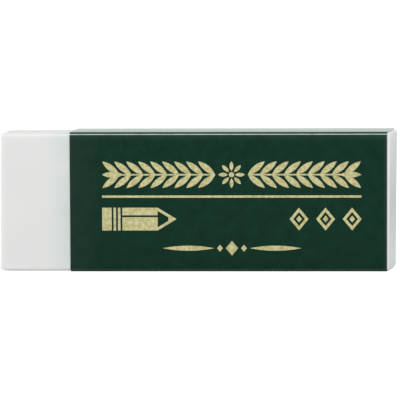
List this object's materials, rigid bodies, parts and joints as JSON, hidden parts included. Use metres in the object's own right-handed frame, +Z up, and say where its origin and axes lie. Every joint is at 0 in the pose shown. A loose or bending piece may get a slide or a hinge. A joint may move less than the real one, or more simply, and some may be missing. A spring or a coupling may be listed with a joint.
{
  "type": "vinyl eraser",
  "caption": "Soft white eraser block, long and rectangular, in a dark green folded card sleeve with gold foil ornament. The sleeve slides along the block.",
  "frame": {"origin": "under the middle of the block, on the surface that the sleeve's narrow bottom panel stands on, halfway between the sleeve's front and back faces", "axes": "+X along the length, from the bare working end towards the other end; -Y out of the printed front; +Z up, across the block's width"},
  "size_m": [0.062, 0.0121, 0.022],
  "materials": {
    "vinyl": "matte, soft white filled vinyl",
    "card": "satin, dark green printed card with white cut edges and a white inside",
    "foil": "satin, pale gold stamped foil"
  },
  "bodies": {
    "block": {"eraser_block": "vinyl"},
    "sleeve": {"card_sleeve": "card", "foil_print": "foil"}
  },
  "joints": [
    {"name": "sleeve_slide", "type": "slide", "parent": "block", "child": "sleeve", "axis": [1, 0, 0], "range_m": [-0.0605, 0.0498]}
  ]
}
